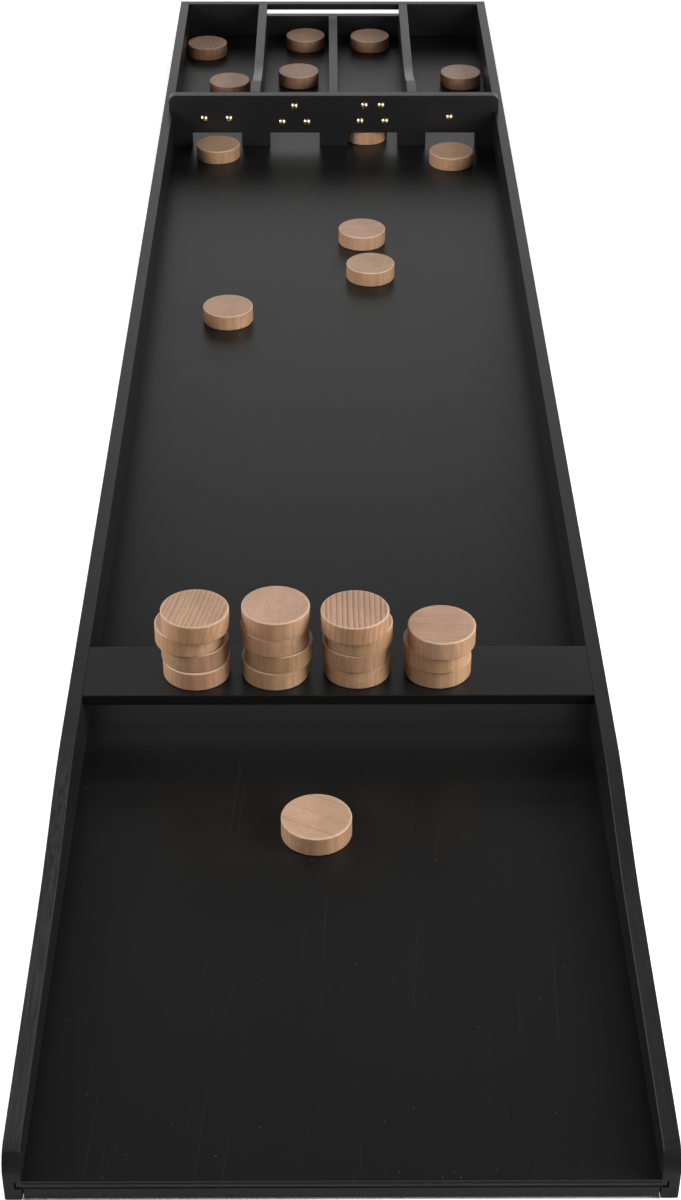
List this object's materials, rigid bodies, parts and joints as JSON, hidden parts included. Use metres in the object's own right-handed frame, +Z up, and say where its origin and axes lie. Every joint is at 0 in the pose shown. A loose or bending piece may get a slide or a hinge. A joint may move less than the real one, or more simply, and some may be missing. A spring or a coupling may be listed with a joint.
{
  "type": "dutch shuffleboard",
  "caption": "Long black wooden tray with a flat bridge near the player's end, a gate board with divided boxes behind it, and loose beech discs on the track, in the boxes and in stacks.",
  "frame": {"origin": "middle of the footprint, on the surface that the board stands on", "axes": "+Y along the board from the player's end to the scoring end, +X to the player's right, +Z up"},
  "size_m": [0.412, 2, 0.125],
  "materials": {
    "black_paint": "satin black paint on planed wood",
    "floor_paint": "satin black lacquer on plywood, polished by the discs",
    "beech": "turned and waxed",
    "brass": "polished",
    "steel": "zinc plated"
  },
  "bodies": {
    "board": {"left_rail": "black_paint", "right_rail": "black_paint", "front_crossbar": "black_paint", "cross_batten_1": "black_paint", "cross_batten_2": "black_paint", "cross_batten_3": "black_paint", "cross_batten_4": "black_paint", "back_wall": "black_paint", "left_divider": "black_paint", "middle_divider": "black_paint", "right_divider": "black_paint", "gate_board": "black_paint", "bridge": "black_paint", "floor_panel": "floor_paint", "tacks_for_two": "brass", "tacks_for_three": "brass", "tacks_for_four": "brass", "tack_for_one": "brass", "bridge_dowels": "beech", "back_wall_screws": "steel", "gate_screws": "steel", "divider_screws": "steel", "batten_screws": "steel"},
    "field_disc_1": {"field_disc_1": "beech"},
    "field_disc_2": {"field_disc_2": "beech"},
    "field_disc_3": {"field_disc_3": "beech"},
    "field_disc_4": {"field_disc_4": "beech"},
    "field_disc_5": {"field_disc_5": "beech"},
    "field_disc_6": {"field_disc_6": "beech"},
    "field_disc_7": {"field_disc_7": "beech"},
    "box_1_disc_1": {"box_1_disc_1": "beech"},
    "box_1_disc_2": {"box_1_disc_2": "beech"},
    "box_2_disc_1": {"box_2_disc_1": "beech"},
    "box_2_disc_2": {"box_2_disc_2": "beech"},
    "box_3_disc_1": {"box_3_disc_1": "beech"},
    "box_4_disc_1": {"box_4_disc_1": "beech"},
    "stack_1_disc_1": {"stack_1_disc_1": "beech"},
    "stack_1_disc_2": {"stack_1_disc_2": "beech"},
    "stack_1_disc_3": {"stack_1_disc_3": "beech"},
    "stack_1_disc_4": {"stack_1_disc_4": "beech"},
    "stack_2_disc_1": {"stack_2_disc_1": "beech"},
    "stack_2_disc_2": {"stack_2_disc_2": "beech"},
    "stack_2_disc_3": {"stack_2_disc_3": "beech"},
    "stack_2_disc_4": {"stack_2_disc_4": "beech"},
    "stack_3_disc_1": {"stack_3_disc_1": "beech"},
    "stack_3_disc_2": {"stack_3_disc_2": "beech"},
    "stack_3_disc_3": {"stack_3_disc_3": "beech"},
    "stack_3_disc_4": {"stack_3_disc_4": "beech"},
    "stack_4_disc_1": {"stack_4_disc_1": "beech"},
    "stack_4_disc_2": {"stack_4_disc_2": "beech"},
    "stack_4_disc_3": {"stack_4_disc_3": "beech"}
  },
  "joints": [
    {"name": "field_disc_1_slide", "type": "slide", "parent": "board", "child": "field_disc_1", "axis": [0, 1, 0], "range_m": [-0.29, 0.97]},
    {"name": "field_disc_2_slide", "type": "slide", "parent": "board", "child": "field_disc_2", "axis": [0, 1, 0], "range_m": [-1.11, 0.38]},
    {"name": "field_disc_3_slide", "type": "slide", "parent": "board", "child": "field_disc_3", "axis": [0, 1, 0], "range_m": [-1.2, 0.032]},
    {"name": "field_disc_4_slide", "type": "slide", "parent": "board", "child": "field_disc_4", "axis": [0, 1, 0], "range_m": [-0.032, 0.24]},
    {"name": "field_disc_5_slide", "type": "slide", "parent": "board", "child": "field_disc_5", "axis": [0, 1, 0], "range_m": [-0.38, 0.15]},
    {"name": "field_disc_6_slide", "type": "slide", "parent": "board", "child": "field_disc_6", "axis": [0, 1, 0], "range_m": [-1.518, 0.205]},
    {"name": "field_disc_7_slide", "type": "slide", "parent": "board", "child": "field_disc_7", "axis": [0, 1, 0], "range_m": [-0.002, 0.26]},
    {"name": "box_1_disc_1_slide", "type": "slide", "parent": "board", "child": "box_1_disc_1", "axis": [0, 1, 0], "range_m": [-0.138, 0.09]},
    {"name": "box_1_disc_2_slide", "type": "slide", "parent": "board", "child": "box_1_disc_2", "axis": [0, 1, 0], "range_m": [-0.092, 0.038]},
    {"name": "box_2_disc_1_slide", "type": "slide", "parent": "board", "child": "box_2_disc_1", "axis": [0, 1, 0], "range_m": [-0.172, 0.075]},
    {"name": "box_2_disc_2_slide", "type": "slide", "parent": "board", "child": "box_2_disc_2", "axis": [0, 1, 0], "range_m": [-0.076, 0.01]},
    {"name": "box_3_disc_1_slide", "type": "slide", "parent": "board", "child": "box_3_disc_1", "axis": [0, 1, 0], "range_m": [-0.255, 0.01]},
    {"name": "box_4_disc_1_slide", "type": "slide", "parent": "board", "child": "box_4_disc_1", "axis": [0, 1, 0], "range_m": [-0.165, 0.145]},
    {"name": "stack_1_disc_1_lift", "type": "slide", "parent": "board", "child": "stack_1_disc_1", "axis": [0, 0, 1], "range_m": [0, 0.03]},
    {"name": "stack_1_disc_2_lift", "type": "slide", "parent": "stack_1_disc_1", "child": "stack_1_disc_2", "axis": [0, 0, 1], "range_m": [0, 0.03]},
    {"name": "stack_1_disc_3_lift", "type": "slide", "parent": "stack_1_disc_2", "child": "stack_1_disc_3", "axis": [0, 0, 1], "range_m": [0, 0.03]},
    {"name": "stack_1_disc_4_lift", "type": "slide", "parent": "stack_1_disc_3", "child": "stack_1_disc_4", "axis": [0, 0, 1], "range_m": [0, 0.08]},
    {"name": "stack_2_disc_1_lift", "type": "slide", "parent": "board", "child": "stack_2_disc_1", "axis": [0, 0, 1], "range_m": [0, 0.03]},
    {"name": "stack_2_disc_2_lift", "type": "slide", "parent": "stack_2_disc_1", "child": "stack_2_disc_2", "axis": [0, 0, 1], "range_m": [0, 0.03]},
    {"name": "stack_2_disc_3_lift", "type": "slide", "parent": "stack_2_disc_2", "child": "stack_2_disc_3", "axis": [0, 0, 1], "range_m": [0, 0.03]},
    {"name": "stack_2_disc_4_lift", "type": "slide", "parent": "stack_2_disc_3", "child": "stack_2_disc_4", "axis": [0, 0, 1], "range_m": [0, 0.08]},
    {"name": "stack_3_disc_1_lift", "type": "slide", "parent": "board", "child": "stack_3_disc_1", "axis": [0, 0, 1], "range_m": [0, 0.03]},
    {"name": "stack_3_disc_2_lift", "type": "slide", "parent": "stack_3_disc_1", "child": "stack_3_disc_2", "axis": [0, 0, 1], "range_m": [0, 0.03]},
    {"name": "stack_3_disc_3_lift", "type": "slide", "parent": "stack_3_disc_2", "child": "stack_3_disc_3", "axis": [0, 0, 1], "range_m": [0, 0.03]},
    {"name": "stack_3_disc_4_lift", "type": "slide", "parent": "stack_3_disc_3", "child": "stack_3_disc_4", "axis": [0, 0, 1], "range_m": [0, 0.08]},
    {"name": "stack_4_disc_1_lift", "type": "slide", "parent": "board", "child": "stack_4_disc_1", "axis": [0, 0, 1], "range_m": [0, 0.03]},
    {"name": "stack_4_disc_2_lift", "type": "slide", "parent": "stack_4_disc_1", "child": "stack_4_disc_2", "axis": [0, 0, 1], "range_m": [0, 0.03]},
    {"name": "stack_4_disc_3_lift", "type": "slide", "parent": "stack_4_disc_2", "child": "stack_4_disc_3", "axis": [0, 0, 1], "range_m": [0, 0.08]}
  ]
}
